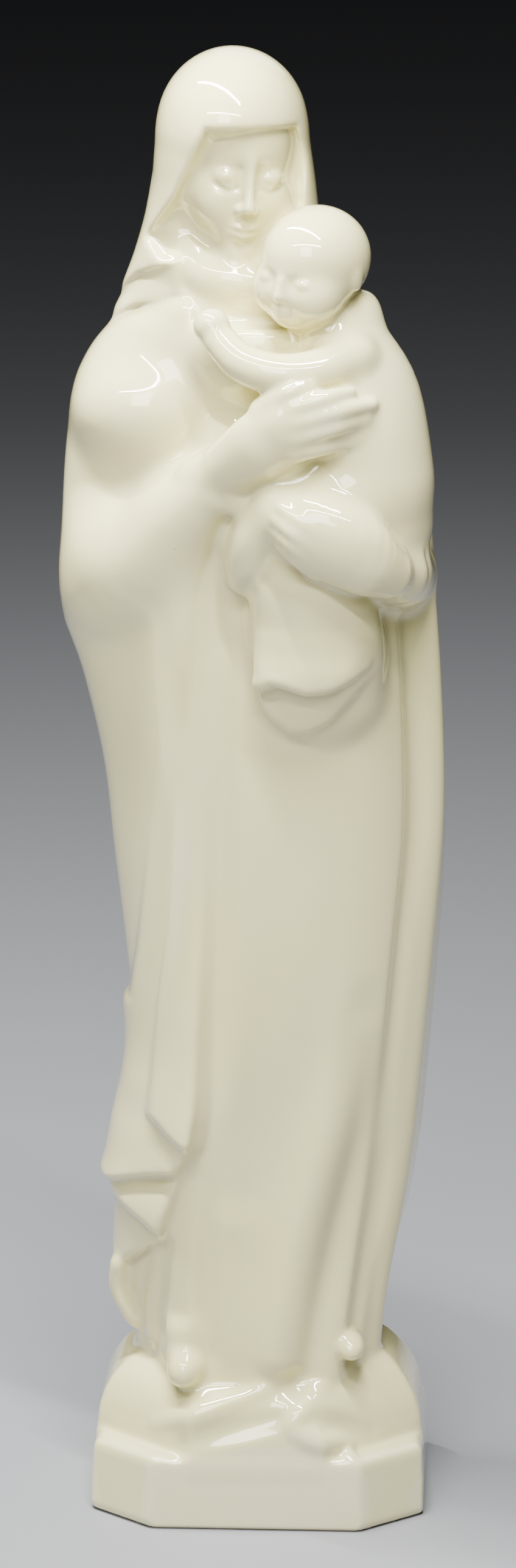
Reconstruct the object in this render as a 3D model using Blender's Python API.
# A white glazed porcelain statuette: a standing Virgin in veil and mantle carries the Child on her left
# arm. Figure, rock mound and eight-sided plinth are one casting, so they are one solid.

import math

import bpy
import numpy as np
import openvdb
from mathutils import Euler

# Sizes in metres. The frame's origin is the centre of the plinth's underside, +Z is up, and the figure
# faces -Y.
plinthWidth = 0.0764
plinthDepth = 0.0660
plinthHeight = 0.0170
cornerCutWidth = 0.0144
cornerCutDepth = 0.0119
plinthTaper = 0.0010
edgeRound = 0.0012
footRound = 0.0022
ledgeWidth = 0.0050
figureHeight = 0.3130
figureShift = 0.0008
surfaceStep = 0.0015
faceBudget = 9400

# The figure is drawn in parts, which are shares of its own height: 1 mm each at the real size.
partsTall = 313.0
part = figureHeight / partsTall


def blendMin(a, b, width):
    lap = np.maximum(width - np.abs(a - b), 0.0) / width
    return np.minimum(a, b) - lap * lap * (width * 0.25)


def blendMax(a, b, width):
    return -blendMin(-a, -b, width)


def ramp(value, low, high):
    t = np.clip((value - low) / (high - low), 0.0, 1.0)
    return t * t * (3.0 - 2.0 * t)


# A smooth curve through rows of numbers, one row for each knot.
def through(knots, rows, at):
    knots = np.asarray(knots, float)
    rows = np.asarray(rows, float)
    slopes = np.gradient(rows, knots, axis=0)
    at = np.clip(at, knots[0], knots[-1])
    i = np.clip(np.searchsorted(knots, at) - 1, 0, len(knots) - 2)
    span = knots[i + 1] - knots[i]
    t = (at - knots[i]) / span
    if rows.ndim > 1:
        t = t[:, None]
        span = span[:, None]
    return (
        (2 * t**3 - 3 * t**2 + 1) * rows[i]
        + (t**3 - 2 * t**2 + t) * span * slopes[i]
        + (3 * t**2 - 2 * t**3) * rows[i + 1]
        + (t**3 - t**2) * span * slopes[i + 1]
    )


# Rows along a curve, several for each stretch between two of the points given.
def curveRows(points, cuts=5):
    knots = np.arange(len(points))
    return through(knots, points, np.linspace(0, len(points) - 1, cuts * (len(points) - 1) + 1))


# A form is a function that gives the distance to its surface, negative inside, and its box.
class Form:
    def __init__(self, distance, low, high):
        self.distance = distance
        self.low = np.asarray(low, float)
        self.high = np.asarray(high, float)


# A place and a turn, so that a head or a hand is drawn about its own centre.
class Pose:
    def __init__(self, centre, turn=(0, 0, 0), size=1.0):
        self.centre = np.asarray(centre, float)
        self.spin = np.array(Euler([math.radians(a) for a in turn]).to_matrix())
        self.size = size

    def point(self, place):
        return self.centre + self.spin @ np.asarray(place, float) * self.size


level = Pose((0, 0, 0))


def ball(centre, radii, turn=(0, 0, 0), pose=level):
    own = Pose((0, 0, 0), turn)
    spin = pose.spin @ own.spin
    middle = pose.point(centre)
    radii = np.asarray(radii, float) * pose.size
    reach = np.abs(spin) @ radii

    def distance(x, y, z):
        dx, dy, dz = x - middle[0], y - middle[1], z - middle[2]
        near = 0.0
        steep = 1e-9
        for i in range(3):
            along = spin[0, i] * dx + spin[1, i] * dy + spin[2, i] * dz
            near = near + (along / radii[i]) ** 2
            steep = steep + (along / radii[i] ** 2) ** 2
        near = np.sqrt(near)
        return near * (near - 1.0) / np.sqrt(steep)

    return Form(distance, middle - reach, middle + reach)


# A round-ended limb through points (x, y, z, radius). It can be pressed flat along one direction.
def limb(points, flatAlong=None, flatness=1.0, pose=level, cuts=5):
    rows = np.array([[*pose.point(p[:3]), p[3] * pose.size] for p in points])
    rows = curveRows(rows, cuts) if len(rows) > 2 else rows
    places, radii = rows[:, :3], rows[:, 3]
    low = (places - radii[:, None]).min(0)
    high = (places + radii[:, None]).max(0)
    normal = None
    if flatAlong is not None:
        normal = pose.spin @ np.asarray(flatAlong, float)
        normal = normal / np.linalg.norm(normal)
        places = places + np.outer(places @ normal, normal) * (1 / flatness - 1)

    def distance(x, y, z):
        if normal is not None:
            lean = (x * normal[0] + y * normal[1] + z * normal[2]) * (1 / flatness - 1)
            x, y, z = x + lean * normal[0], y + lean * normal[1], z + lean * normal[2]
        best = None
        for a, b, ra, rb in zip(places[:-1], places[1:], radii[:-1], radii[1:]):
            axis = b - a
            size = max(float(axis @ axis), 1e-9)
            dx, dy, dz = x - a[0], y - a[1], z - a[2]
            t = np.clip((dx * axis[0] + dy * axis[1] + dz * axis[2]) / size, 0.0, 1.0)
            dx, dy, dz = dx - t * axis[0], dy - t * axis[1], dz - t * axis[2]
            one = np.sqrt(dx * dx + dy * dy + dz * dz) - (ra + t * (rb - ra))
            best = one if best is None else np.minimum(best, one)
        return best

    return Form(distance, low, high)


# An upright form from stations (z, left, right, front, back), widest at y = middle.
def column(stations, squareness=2.3, middle=0.0, capRound=3.0):
    stations = np.asarray(stations, float)
    base, top = stations[0, 0], stations[-1, 0]

    def distance(x, y, z):
        left, right, front, back = through(stations[:, 0], stations[:, 1:], z.ravel()).T[:, None, None, :]
        centre = (left + right) / 2
        across = np.abs(x - centre) / ((right - left) / 2)
        deep = np.where(y < middle, (middle - y) / (middle - front), (y - middle) / (back - middle))
        ratio = (across**squareness + deep**squareness) ** (1 / squareness) + 1e-6
        radius = np.sqrt((x - centre) ** 2 + (y - middle) ** 2)
        shell = radius * (1.0 - 1.0 / ratio)
        return blendMax(shell, np.maximum(z - top, base - z), capRound)

    low = (stations[:, 1].min(), stations[:, 3].min(), base)
    high = (stations[:, 2].max(), stations[:, 4].max(), top)
    return Form(distance, low, high)


# Distance in the picture plane to a closed outline of (x, z) points, negative inside it.
def outlineDistance(outline, x, z):
    outline = np.asarray(outline, float)
    nearest = np.full(np.broadcast(x, z).shape, 1e9)
    inside = np.zeros(nearest.shape, bool)
    for (ax, az), (bx, bz) in zip(outline, np.roll(outline, -1, axis=0)):
        ex, ez = bx - ax, bz - az
        px, pz = x - ax, z - az
        t = np.clip((px * ex + pz * ez) / max(ex * ex + ez * ez, 1e-9), 0, 1)
        nearest = np.minimum(nearest, (px - t * ex) ** 2 + (pz - t * ez) ** 2)
        if az != bz:
            inside ^= ((az > z) != (bz > z)) & (px < ex * pz / ez)
    return np.where(inside, -1.0, 1.0) * np.sqrt(nearest)


# The clay is a block of sample points, each holding its distance to the surface.
class Clay:
    def __init__(self, xLine, yLine, zLine):
        self.lines = [np.asarray(line, np.float64) for line in (xLine, yLine, zLine)]
        self.depth = np.full([len(line) for line in self.lines], 60.0, np.float32)

    def window(self, low, high):
        cuts = tuple(
            slice(max(int(np.searchsorted(line, a)) - 1, 0), int(np.searchsorted(line, b)) + 1)
            for line, a, b in zip(self.lines, low, high)
        )
        x, y, z = (line[cut].astype(np.float32) for line, cut in zip(self.lines, cuts))
        return cuts, x[:, None, None], y[None, :, None], z[None, None, :]

    def add(self, form, blend=1.0):
        cuts, x, y, z = self.window(form.low - blend, form.high + blend)
        self.depth[cuts] = blendMin(self.depth[cuts], form.distance(x, y, z), blend)

    def cut(self, form, blend=1.0):
        cuts, x, y, z = self.window(form.low - blend, form.high + blend)
        self.depth[cuts] = blendMax(self.depth[cuts], -form.distance(x, y, z), blend)

    # The surface's y as seen from the front at each (x, z).
    def frontAt(self, x, z):
        xLine, yLine, zLine = self.lines
        i = int(np.clip(np.searchsorted(xLine, x) - 1, 0, len(xLine) - 2))
        k = int(np.clip(np.searchsorted(zLine, z) - 1, 0, len(zLine) - 2))
        s = (x - xLine[i]) / (xLine[i + 1] - xLine[i])
        t = (z - zLine[k]) / (zLine[k + 1] - zLine[k])
        d = self.depth
        line = (d[i, :, k] * (1 - s) + d[i + 1, :, k] * s) * (1 - t) + (
            d[i, :, k + 1] * (1 - s) + d[i + 1, :, k + 1] * s
        ) * t
        j = int(np.argmax(line < 0))
        if j == 0:
            return 0.0
        return float(yLine[j - 1] + (yLine[j] - yLine[j - 1]) * line[j - 1] / (line[j - 1] - line[j]))

    # A limb along the front surface through (x, z, radius, depth) points. It digs in or stands out by the
    # depth, and fades out where the depth is below zero.
    def along(self, points, digs, cuts=6):
        rows = curveRows(points, cuts)
        side = -1 if digs else 1
        return limb([(x, self.frontAt(x, z) + side * (r - deep), z, r) for x, z, r, deep in rows], cuts=1)

    def groove(self, points, blend=3.0):
        self.cut(self.along(points, True), blend)

    def ridge(self, points, blend=3.0):
        self.add(self.along(points, False), blend)

    # Lays a sheet over what is there, inside an outline drawn in the picture plane. The thickness is a
    # function of (x, z), and the sheet runs out on the way back to y = behind.
    def layer(self, outline, thickness, edge=1.0, blend=0.8, behind=0.0, fade=3.0):
        rows = np.asarray(outline, float)
        low = (rows[:, 0].min() - 2, self.lines[1][0], rows[:, 1].min() - 2)
        high = (rows[:, 0].max() + 2, behind + 2, rows[:, 1].max() + 2)
        cuts, x, y, z = self.window(low, high)
        mask = outlineDistance(rows, x[:, 0, :], z[:, 0, :])[:, None, :].astype(np.float32)
        mask = blendMax(mask, y - behind, 3.0)
        thick = thickness(x, z) * (1 - ramp(y, behind - fade, behind))
        sheet = blendMax(self.depth[cuts] - thick, mask, edge * 2)
        self.depth[cuts] = blendMin(self.depth[cuts], sheet, blend)

    # Vertices and faces of the surface, in the clay's own units.
    def skin(self):
        grid = openvdb.FloatGrid(60.0)
        grid.copyFromArray(np.ascontiguousarray(self.depth))
        places, quads = grid.convertToQuads(0.0)
        for axis, line in enumerate(self.lines):
            places[:, axis] = np.interp(places[:, axis], np.arange(len(line)), line)
        return places, quads


# The dress is what shows between the mantle's two edges, and the mantle hangs round it. Their stations
# are (height above the plinth, left, right, front, back).
dressStations = [
    (8, -27, 26, -27, 18),
    (19, -26, 25.5, -28.5, 18),
    (45, -26, 28, -27.8, 18),
    (80, -24, 34, -27.2, 18),
    (120, -22.5, 38, -26.8, 17),
    (160, -22, 38.5, -26, 16),
    (195, -21, 36, -24, 15),
    (225, -16, 28, -17, 13),
    (250, -14, 14, -12, 11),
]
mantleStations = [
    (8, -29, 26, -18, 20),
    (24, -30.8, 24.6, -18, 22),
    (35, -33.2, 26.8, -19, 23.5),
    (47, -33.2, 31.0, -20, 24.5),
    (65, -32.2, 34.5, -21, 25),
    (88, -30.3, 37, -21, 25),
    (105, -30.4, 38.4, -21, 24.8),
    (133, -33.9, 40.2, -22, 24),
    (156, -36.5, 39.8, -23, 23.2),
    (173, -39.6, 38.4, -22.5, 22.6),
    (187, -43.6, 37.0, -21, 22),
    (200, -44.2, 36.4, -20, 21.2),
    (217, -43.4, 35.0, -18.5, 20),
    (234, -42.4, 31.5, -17.5, 18.8),
    (244, -40.0, 27, -17.3, 17.6),
    (251, -35.6, 21, -16.8, 16.4),
    (256, -30, 15, -16, 14.6),
    (260.5, -22, 8, -14.5, 12),
    (263.5, -14, 0, -12, 9),
]
# The mantle's left and right front edges as (height, x).
leftEdge = [(0, -24), (30, -21), (48, -20), (64, -16), (72, -13.6), (97, -12.8), (155, -10.8), (226, -9)]
rightEdge = [
    (0, 23), (20, 24), (45, 26.0), (63, 28.2), (85, 30.4), (115, 33.2), (145, 35.6), (175, 34.8), (200, 33),
    (226, 30),
]


def edgeLine(edge, z):
    line = np.array(edge)
    return through(line[:, 0], line[:, 1], np.ravel(z))


def mantleAndDress(clay):
    mantle = column(mantleStations, 2.2)

    # The front opening is everything between the two edges and before the figure's middle.
    def openMantle(x, y, z):
        left = edgeLine(leftEdge, z)[None, None, :]
        right = edgeLine(rightEdge, z)[None, None, :]
        gap = np.maximum(np.maximum(left - x, x - right), np.maximum(y + 4, z - 216))
        return blendMax(mantle.distance(x, y, z), -gap, 3.5)

    clay.add(Form(openMantle, mantle.low, mantle.high), 0.5)
    # Cloth that hangs from the right forearm, then runs out into the straight edge.
    sling = [(-18, -16.5, 212, 8.5), (-17.5, -17, 190, 8), (-17.5, -15.5, 160, 7), (-18.5, -12, 120, 5)]
    clay.add(limb(sling + [(-20, -8, 85, 3.0)], cuts=9), 9.0)
    clay.add(column(dressStations, 2.2), 2.5)
    # Rolled right edge of the mantle, from the left arm's cuff to the ground.
    bow = [(x + 1.6, -7.0 - 3.0 * math.sin(math.pi * z / 210), z, 2.6) for z, x in rightEdge[:-1]]
    clay.add(limb(bow), 4.0)
    clay.groove([(x - 1.0, z, 2.2, 0.3) for z, x in rightEdge[1:-1]], 2.5)


def cascade(clay):
    # The mantle's left edge falls in lapped folds, each ending in a slanting hem. The lowest is laid
    # first, and each runs out upwards, under the one above it.
    def sheet(thickness, runOut, full, reach=(-3.0, 1.5)):
        def thick(x, z):
            edge = edgeLine(leftEdge, z)[None, None, :]
            return thickness * (1 - ramp(z, full, runOut)) * (1 - ramp(x - edge, *reach))
        return thick

    lobe = [(-20.0, 70), (-38, 70), (-38, 36.0), (-33.8, 36.4), (-28.5, 41.3), (-24.4, 45.4), (-19.5, 48.2)]
    clay.layer(lobe, sheet(2.0, 69, 52), 1.0, 0.8, 10, 12)
    third = [(-38, 92), (-38, 57), (-34.2, 54.0), (-28.3, 50.7), (-22.9, 47.8), (-19.5, 49.5), (-12.5, 70)]
    third += [(-12.5, 92)]
    clay.layer(third, sheet(1.9, 90, 66), 1.0, 0.8, 10, 12)
    lineA = [(-20, 184), (-22.5, 168), (-24.4, 150), (-26.6, 129), (-28.3, 114.6), (-30.4, 102)]
    hemTwo = [(-46, 90), (-46, 60), (-36.2, 58.3), (-31, 60.6), (-26.6, 62.2), (-18.8, 64.6), (-12.6, 68.4)]
    inFront = [(-11.5, 97), (-9.5, 130), (-8.5, 184)]
    clay.layer(lineA + hemTwo + inFront, sheet(2.0, 176, 120), 1.1, 1.0, 12, 14)
    lineB = [(-14, 184), (-17.8, 160), (-19.9, 136), (-21.3, 119), (-23.2, 104.6), (-25.0, 86), (-26.0, 76.4)]
    hemOne = [(-21, 72.7), (-16.2, 69.4), (-12.0, 68.0)]
    clay.layer(lineB + hemOne + inFront, sheet(1.8, 180, 95), 1.2, 1.2)
    # The edge itself is a soft valley against the dress.
    valley = [(x + 0.6, z, 3.5, 0.1) for z, x in leftEdge[1:-2]]
    clay.groove(valley + [(-9.8, 185, 3.5, 0.0), (-9, 205, 3.5, -3)], 3.0)
    # The hollow at the foot, where the last fold stands off from the dress.
    hollow = [(-26.5, -21, 42, 1.5), (-29.0, -19.5, 34, 3.0), (-29.0, -19.5, 26, 3.6), (-27, -19.5, 20, 3.0)]
    clay.cut(limb(hollow), 2.5)
    clay.add(limb([(-32.8, -7, 37, 2.4), (-33.0, -6, 31, 2.4), (-29.5, -7, 24.5, 2.4)]), 2.0)
    clay.ridge([(-22.6, 44, 1.5, 0), (-24.0, 34, 2.0, 0.6), (-24.4, 22, 2.0, 0.6)], 2.0)


def skirtFolds(clay):
    # Soft valleys sweep down the dress from the right, with ridges between them.
    clay.groove([(9, 120, 5, -6), (6, 92, 6, -1), (2, 62, 7, 1.2), (-2, 34, 7, 1.6), (-4, 16, 7, 1.4)], 6.0)
    clay.groove([(26, 96, 4, -5), (22, 72, 5, -0.5), (16, 48, 5, 1.4), (11, 26, 5, 1.6), (9, 15, 5, 1.6)], 5)
    clay.groove([(-10, 70, 3, -4), (-12, 50, 3, 0), (-14, 25, 3, 0.6)], 4.0)
    clay.ridge([(20, 96, 3, -5), (15, 72, 3.5, 0), (9, 45, 3.5, 0.8), (5, 22, 3.5, 0.8)], 5.0)


def rightArm(clay):
    clay.add(limb([(-27, 2, 236, 11), (-31.6, 1, 212, 11.5), (-32.4, -3, 194, 10.5)], cuts=9), 8.0)
    forearm = [(-32.4, -6, 192, 10.5), (-25, -15, 203, 10), (-16, -22, 215, 8.0), (-10, -25.5, 222.5, 6.0)]
    clay.add(limb(forearm, cuts=9), 8.0)
    # The breast between the arm and the child, then the wrist, the cuff's rim and the hollow under it.
    clay.add(ball((0, -14, 224), (15, 10.5, 16)), 4.0)
    clay.add(ball((0, -14, 249), (16, 11.5, 13)), 4.0)
    clay.add(ball((7, -24, 226), (9, 9, 8)), 3.0)
    clay.cut(ball((-5.0, -27, 215.5), (5.0, 4.5, 2.6), (0, -15, 0)), 1.6)
    clay.add(limb([(-13, -24, 222, 5.4), (-6, -28.0, 226.5, 6.0), (0, -31, 231, 6.6)]), 1.2)
    rim = [(-12.5, -26.5, 225.5, 1.2), (-10.5, -29.2, 220.6, 1.5), (-6.6, -29.6, 218.4, 1.5)]
    clay.add(limb(rim + [(-3.6, -28, 219.4, 1.2)]), 1.2)


def rightHand(clay):
    back = [(-5, -28.8, 226.8, 6.2), (1.5, -32.4, 232, 7.9), (7.5, -34.6, 235.6, 7.6)]
    clay.add(limb(back, flatAlong=(-0.25, 1, 0.1), flatness=0.55), 1.8)
    fingers = [
        ((0.6, -34.0, 239.6), (6.4, -36.0, 243.4), (11.2, -35.8, 245.0), 2.2),
        ((8, -36.6, 240.4), (14.6, -37.0, 242.6), (19.8, -34.4, 243.6), 2.0),
        ((8.5, -37, 237.2), (16.9, -37.2, 239.8), (24.4, -33.2, 240.8), 2.0),
        ((8.5, -36.8, 233.9), (16.5, -37.0, 236.4), (22.8, -33.4, 237.8), 1.9),
        ((8.0, -35.6, 230.6), (14.5, -35.8, 232.0), (20.2, -33.2, 232.9), 1.9),
    ]
    for root, knuckle, tip, radius in fingers:
        clay.add(limb([(*root, radius * 1.15), (*knuckle, radius), (*tip, radius * 0.8)]), 0.8)


def child(clay):
    spine = [(16, -20, 252, 8.5), (20, -20.5, 240, 12.4), (22.3, -20.5, 226, 14.4), (23, -19.5, 213, 14.4)]
    clay.add(limb(spine, cuts=12), 3.0)
    clay.add(ball((24.5, -23, 212.5), (11.8, 12.2, 10.5)), 3.0)
    clay.add(limb([(19.6, -18, 250.5, 8.2), (24.6, -18, 239.5, 9.4), (27, -20, 222, 9.0)]), 4.0)
    thigh = [(25, -23, 213, 11.4), (16, -29, 215.2, 9.6), (8.0, -31.6, 215.6, 7.0)]
    clay.add(limb(thigh, cuts=9), 3.0)
    # Near arm, laid across the mother's breast to her shoulder.
    arm = [(20, -27, 250.0, 5.4), (12, -31, 247.2, 5.0), (4.2, -32.3, 246.9, 4.6), (-3.4, -30.6, 248.9, 4.2)]
    clay.add(limb(arm + [(-8.6, -27.6, 253.2, 3.7)], cuts=8), 2.0)
    clay.add(ball((-10.4, -26.4, 256.2), (4.0, 3.6, 3.9)), 1.2)


def wrap(clay):
    # The cloth round the child's legs hangs below the mother's hand and ends in a scrolled hem.
    bag = [(7.5, -28, 209, 8.0), (10.2, -27.0, 199, 12.2), (12.3, -23.5, 187, 14.6), (13.0, -20.8, 176, 14.0)]
    clay.add(limb(bag, flatAlong=(0, 1, 0), flatness=0.60, cuts=10), 3.0)

    def flare(top, hem, thick):
        return lambda x, z: thick * (1 - ramp(z, hem, top))

    lower = [
        (-0.5, 190), (-0.6, 178), (0.4, 173.5), (2.0, 169.6), (6.4, 166.6), (11.1, 167.2), (15.8, 169.8),
        (19.6, 174.3), (23.4, 178.2), (28.1, 182.6), (26, 190),
    ]
    clay.layer(lower, flare(188, 178, 1.5), 1.0, 0.8)
    upper = [
        (-1.5, 202), (-2.0, 191), (-1.4, 178.6), (0.3, 177.4), (2.6, 178.9), (5.4, 178.6), (10.2, 177.1),
        (15.9, 177.9), (21.5, 181.3), (27.6, 184.6), (27.6, 191), (26, 202),
    ]
    clay.layer(upper, flare(202, 180, 2.2), 1.2, 0.8)
    hem = [(0.4, 178.3, 1.3, 0.2), (3.2, 179.8, 1.1, 0.2), (7, 179.0, 1.1, 0.2), (11, 178.2, 1.1, 0.1)]
    clay.ridge(hem + [(17, 179.4, 1.0, -0.4)], 0.8)
    # A pointed leaf of cloth falls from the knee.
    fall = [(3, -30.5, 217, 4.8), (-0.2, -28.2, 211.5, 5.4), (-2.4, -26, 206, 5), (-3.6, -24.6, 201, 3.6)]
    clay.add(limb(fall, cuts=9), 4.0)
    leaf = [(8, 222), (2.0, 222), (-1.4, 218.1), (-5.6, 211.4), (-7.4, 203), (-5.6, 198.6), (-1.1, 203.0)]
    leaf += [(1.9, 209.2), (3.2, 216)]
    clay.layer(leaf, lambda x, z: 1.3 * (1 - ramp(z, 209, 219)) * ramp(x, -9, -5), 1.0, 0.8)


def leftArm(clay):
    clay.add(limb([(24, 4, 236, 9), (26.2, 4, 213, 9.0), (28.6, 0, 197.5, 8.8)], cuts=9), 4.0)
    clay.add(limb([(28.8, -2, 197, 8.4), (29.6, -14, 198.6, 8.0), (29.2, -24, 201.5, 6.8)], cuts=9), 3.0)
    clay.add(limb([(29.6, -25, 202.5, 5.8), (28, -30, 203.5, 5.6), (25, -33, 205.0, 5.8)]), 1.0)
    # The cuff's rim round the wrist.
    rim = [(26.6, -33.8, 210.2, 1.1), (29.4, -34, 207.6, 1.4), (30.4, -33, 203, 1.5), (28.6, -32.4, 198.6, 1.2)]
    clay.add(limb(rim), 0.9)


def leftHand(clay):
    back = [(27, -32.8, 204.6, 6), (19.5, -36, 210, 9.2), (12, -37, 213.6, 8), (7.5, -36.6, 215.2, 5.2)]
    clay.add(limb(back, flatAlong=(0.3, 1, 0), flatness=0.5), 1.8)
    fingers = [
        ((15.5, -38.6, 212.0), (9.4, -39.6, 216.2), (5.2, -38.0, 218.8), 1.9),
        ((14.2, -38.4, 209.2), (8.2, -39.8, 213.6), (4.2, -37.8, 216.3), 1.9),
        ((13.2, -37.6, 206.8), (7.8, -39.2, 210.8), (4.4, -37.4, 213.2), 1.8),
        ((12.4, -36.2, 204.8), (8.2, -37.8, 208.2), (5.2, -36.6, 210.4), 1.7),
    ]
    for root, knuckle, tip, radius in fingers:
        clay.add(limb([(*root, radius * 1.15), (*knuckle, radius), (*tip, radius * 0.85)]), 1.0)


def veil(clay):
    upper = [
        (250, -35.2, 22, -11.5, 20.5), (256, -33.0, 19, -13, 20.7), (262, -31.2, 15.5, -15, 20.9),
        (267, -29.3, 13.5, -16.4, 21), (272, -27.7, 12.4, -17.5, 21.1), (278.5, -26.0, 11.5, -18.8, 21.2),
        (284, -24.9, 10.9, -20.0, 21.2), (296, -23.7, 9.1, -21.0, 20.8),
    ]
    lower = [
        (240, -37.5, 25, -9, 19.5), (250, -35.4, 22, -11, 19.8), (253.3, -33.9, 20, -12, 20),
        (256, -33.2, 18, -13, 20), (260.3, -30.8, 15, -14, 20), (266, -28.2, 12.5, -15, 20),
        (272, -26.5, 11, -16, 20),
    ]
    hood = column(upper, 2.05, middle=0.6, capRound=0.5)
    under = column(lower, 2.05, middle=0.6)
    dome = ball((-7.3, 0.1, 295.7), (16.5, 21.0, 17.4))

    # Each layer ends in a slanting hem, higher towards the neck and lower at the back.
    def shell(x, y, z):
        rise = np.clip(x + 31, -6, 13)
        drop = np.clip(y + 6, 0, 24)
        top = blendMin(hood.distance(x, y, z), dome.distance(x, y, z), 1.0)
        top = blendMax(top, 262.8 + 0.42 * rise - 0.5 * drop - z, 1.6)
        low = blendMax(under.distance(x, y, z), 256.0 + 0.40 * rise - 0.6 * drop - z, 1.6)
        return blendMin(top, low, 0.8)

    clay.add(Form(shell, (-40, -23, 235), (26, 23, 315)), 1.0)
    # The opening for the face is cut from the front, inside this outline. It is shallow at its edge and
    # deep in the middle, so that the linen meets the cheeks.
    opening = [
        (-11.9, 297.4), (-0.6, 297.6), (6.6, 297.0), (8.7, 290), (8.4, 284), (8.3, 268), (7, 255), (-15, 255),
        (-18.2, 262), (-19.4, 267.6), (-22.4, 268.2), (-25.6, 272.8), (-22.0, 277.6), (-18.8, 282.1),
        (-14.9, 290.7),
    ]

    def hole(x, y, z):
        mask = outlineDistance(opening, x[:, 0, :], z[:, 0, :])[:, None, :]
        inner = -hood.distance(x, y, z)
        return blendMax(blendMax(mask, y + 6.5, 1.5), inner - 1.8 + 1.1 * mask, 1.5)

    clay.cut(Form(hole, (-28, -30, 253), (10, -5, 300)), 1.6)


def motherHead(clay):
    # Neck, and the linen round it, gathered in a soft roll under the jaw.
    clay.add(limb([(-7, 1, 250, 12), (-5.5, -2.0, 270, 9.2)], cuts=6), 3.0)
    clay.add(ball((-8, -3.5, 256.5), (18, 12, 7.0), (0, 4, 0)), 3.0)
    clay.add(ball((-4.5, -7, 264), (12, 9.5, 7.5), (0, 8, 0)), 3.0)
    roll = [(-18.6, -6, 276, 3), (-17.2, -8.5, 271.5, 3.2), (-13.4, -11.5, 267.2, 3.2), (-7.5, -13.6, 264.2, 3.2)]
    clay.add(limb(roll + [(0, -13.4, 263.4, 3.0)], cuts=6), 2.5)
    # Skull, jaw, cheeks and chin, with z = 0 at the line of the eyes.
    head = Pose((-6.0, -3.4, 289.6), (9, 5, 15), 1.04)
    clay.add(ball((0, 0.5, 4), (12.6, 15.5, 15.5), pose=head), 1.0)
    clay.add(ball((0, -4.8, -7.8), (10.2, 10.4, 12.2), pose=head), 5.0)
    clay.add(ball((0, -12.0, -17.8), (3.4, 3.2, 2.8), pose=head), 3.5)
    clay.add(ball((0, -11.4, -12.4), (4.6, 4.2, 4.2), pose=head), 2.5)
    for side in (-1, 1):
        clay.add(ball((side * 6.4, -9.2, -6.6), (4.6, 4.8, 5.0), pose=head), 3.0)
        clay.cut(ball((side * 5.4, -17.6, 0.0), (4.2, 3.2, 2.8), pose=head), 2.4)
        clay.add(ball((side * 5.4, -11.1, -0.8), (3.3, 3.0, 2.4), pose=head), 0.7)
        clay.add(ball((side * 1.7, -15.4, -8.0), (1.2, 1.5, 1.1), pose=head), 0.9)
    nose = [(0, -14.2, 3.0, 1.1), (0, -15.4, -3, 1.2), (0, -16.8, -7.0, 1.5)]
    clay.add(limb(nose, pose=head), 1.5)
    for height, half, thick in ((-12.0, 3.3, 0.75), (-13.7, 2.5, 0.95)):
        corner = height - 0.1
        lip = [(-half, -14.2, corner, 0.45), (0, -15.4, height, thick), (half, -14.2, corner, 0.45)]
        clay.add(limb(lip, pose=head), 0.7)


def childHead(clay):
    head = Pose((11.6, -20.5, 269.4), (6, 6, -34), 1.04)
    clay.add(ball((-0.2, 0.5, 0.8), (11.1, 12.0, 10.8), pose=head), 1.5)
    clay.add(ball((0, -4.0, -4.4), (9.4, 8.0, 7.4), pose=head), 2.5)
    for side in (-1, 1):
        clay.add(ball((side * 4.8, -7.2, -5.8), (4.2, 4.2, 4.0), pose=head), 2.0)
        clay.cut(ball((side * 4.2, -13.6, -1.4), (3.0, 2.4, 1.8), pose=head), 1.8)
        clay.add(ball((side * 4.2, -9.2, -1.9), (2.5, 2.3, 1.8), pose=head), 0.6)
        clay.add(ball((side * 10.2, 0.5, -2.0), (0.9, 1.6, 2.4), (15, 0, 0), pose=head), 1.2)
    clay.add(limb([(0, -11.6, -1.5, 0.7), (0, -12.4, -4.4, 1.2)], pose=head), 1.2)
    clay.add(ball((0, -10.6, -7.6), (2.6, 2.0, 0.8), pose=head), 0.7)
    clay.add(ball((0, -10.4, -8.8), (2.0, 1.9, 0.8), pose=head), 0.7)
    clay.add(ball((0, -8.4, -10.8), (2.6, 2.4, 1.8), pose=head), 1.5)


def backAt(clay, x, z):
    line = clay.depth[np.searchsorted(clay.lines[0], x), :, np.searchsorted(clay.lines[2], z)]
    inside = np.flatnonzero(line < 0)
    return float(clay.lines[1][inside[-1]]) if len(inside) else 0.0


def backFolds(clay):
    # Long shallow folds down the back of the mantle, deeper towards the ground.
    for x, top, deep in ((-23, 150, 1.0), (-10, 200, 1.6), (4, 185, 1.4), (18, 205, 1.6), (29, 150, 1.0)):
        rows = []
        for s in np.linspace(0, 1, 7):
            px, pz = x * (1 + 0.08 * s), top + (16 - top) * s
            radius = 2.5 + 1.5 * s
            sink = -5 + (5 + deep) * min(s * 2.5, 1.0)
            rows.append((px, backAt(clay, px, pz) + radius - sink, pz, radius))
        clay.cut(limb(rows), 5.0)


# Distance to an eight-sided block: a box with its four upright corners cut off.
def eightSided(x, y, halfWidth, halfDepth, cutWidth, cutDepth):
    across, along = np.abs(x), np.abs(y)
    slant = math.hypot(cutWidth, cutDepth)
    corner = (across - halfWidth) * cutDepth + (along - halfDepth) * cutWidth + cutWidth * cutDepth
    return blendMax(blendMax(across - halfWidth, along - halfDepth, 0.8), corner / slant, 0.8)


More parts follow.
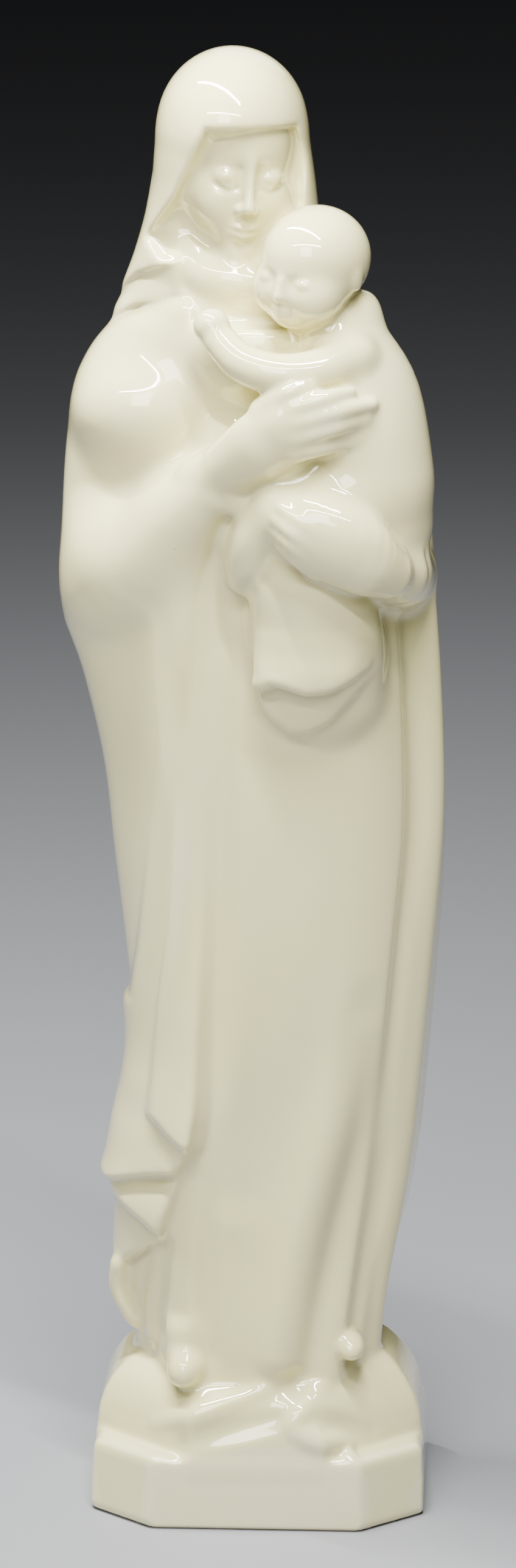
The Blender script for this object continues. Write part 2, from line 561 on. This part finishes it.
def plinthAndMound(clay):
    half, deep, tall = plinthWidth / part / 2, plinthDepth / part / 2, plinthHeight / part
    cutWidth, cutDepth, taper = cornerCutWidth / part, cornerCutDepth / part, plinthTaper / part
    crown, foot, ledge = edgeRound / part, footRound / part, ledgeWidth / part

    shift = -figureShift / part

    def block(x, y, z):
        lean = taper * np.clip(z / tall + 1, 0, 1)
        tuck = foot * (1 - np.sqrt(np.clip(1 - (1 - np.clip((z + tall) / foot, 0, 1)) ** 2, 0, 1)))
        wall = eightSided(x - shift, y, half, deep, cutWidth, cutDepth) + lean + tuck * 0.6
        return np.maximum(blendMax(wall, z, crown * 2), -tall - z)

    clay.add(Form(block, (shift - half, -deep, -tall), (shift + half, deep, 0)), 0.01)

    # The mound fills the plinth's top but for a ledge at each cut corner.
    def mound(x, y, z):
        up = np.clip(z / 20.0, 0, 1.3)
        inset = taper + 0.2
        corner = ledge * 1.5
        wall = eightSided(x - shift, y, half - inset, deep - inset, cutWidth + corner, cutDepth + corner)
        slope = wall + 11.0 * up**2.2
        crest = 18.5 + 0.12 * x * (x > 0) + 0.10 * y
        return blendMax(slope, z - crest, 7.0)

    clay.add(Form(mound, (shift - half, -deep, -3), (shift + half, deep, 30)), 1.2)
    # Rock ridges run aslant down the mound's front.
    clay.groove([(-24, 1.5, 2.0, -1), (-14, 5, 2.5, 0.5), (-4, 8.5, 2.5, 0.4), (6, 12, 2, -2)], 2.0)
    clay.ridge([(1, 14, 2.0, -2), (6, 9, 2.5, 0.5), (12, 3, 2.0, 0)], 2.0)


def feet(clay):
    clay.add(ball((-16.9, -25.6, 19.6), (3.7, 6.4, 4.0), (14, 0, -6)), 1.8)
    clay.add(ball((20.0, -23.0, 23.2), (3.0, 5.4, 2.6), (10, 0, 8)), 1.6)


def closePockets(clay):
    # A mould could not make the pockets behind the child's knee and between the two heads.
    for centre, radius in (((5, -21.5, 212), 6), ((3, -13.5, 275), 3)):
        clay.add(ball(centre, (radius, radius, radius)))


def sculpt(clay):
    mantleAndDress(clay)
    cascade(clay)
    backFolds(clay)
    rightArm(clay)
    leftArm(clay)
    skirtFolds(clay)
    plinthAndMound(clay)
    feet(clay)
    veil(clay)
    motherHead(clay)
    child(clay)
    wrap(clay)
    childHead(clay)
    closePockets(clay)
    rightHand(clay)
    leftHand(clay)


def sampleLine(low, high, step):
    return np.arange(low - 3 * step, high + 4 * step, step)


def makeClay(step):
    half, deep, tall = (plinthWidth / 2 + figureShift) / part, plinthDepth / part / 2, plinthHeight / part
    return Clay(
        sampleLine(-max(half, 48), max(half, 42), step),
        sampleLine(-max(deep, 45), max(deep, 30), step),
        sampleLine(-tall, partsTall, step),
    )


def skinObject(name, clay):
    places, quads = clay.skin()
    floor = -plinthHeight / part
    places[:, 2] = np.where(places[:, 2] < floor + 0.1, floor, places[:, 2])
    places = places * part
    places += (figureShift, 0, plinthHeight)
    mesh = bpy.data.meshes.new(name)
    mesh.from_pydata(places.tolist(), [], quads.tolist())
    mesh.validate()
    mesh.shade_smooth()
    thing = bpy.data.objects.new(name, mesh)
    bpy.context.scene.collection.objects.link(thing)
    return thing


def glazedPorcelain():
    material = bpy.data.materials.new("glazed_porcelain")
    material.use_nodes = True
    shader = material.node_tree.nodes["Principled BSDF"]
    shader.inputs["Base Color"].default_value = (0.80, 0.79, 0.70, 1)
    shader.inputs["Roughness"].default_value = 0.08
    shader.inputs["Metallic"].default_value = 0.0
    return material


def main():
    for thing in list(bpy.data.objects):
        bpy.data.objects.remove(thing)
    clay = makeClay(surfaceStep / part)
    sculpt(clay)
    statuette = skinObject("statuette", clay)
    statuette.data.materials.append(glazedPorcelain())
    thin = statuette.modifiers.new("fewer faces", "DECIMATE")
    thin.ratio = faceBudget / (2 * len(statuette.data.polygons))


main()
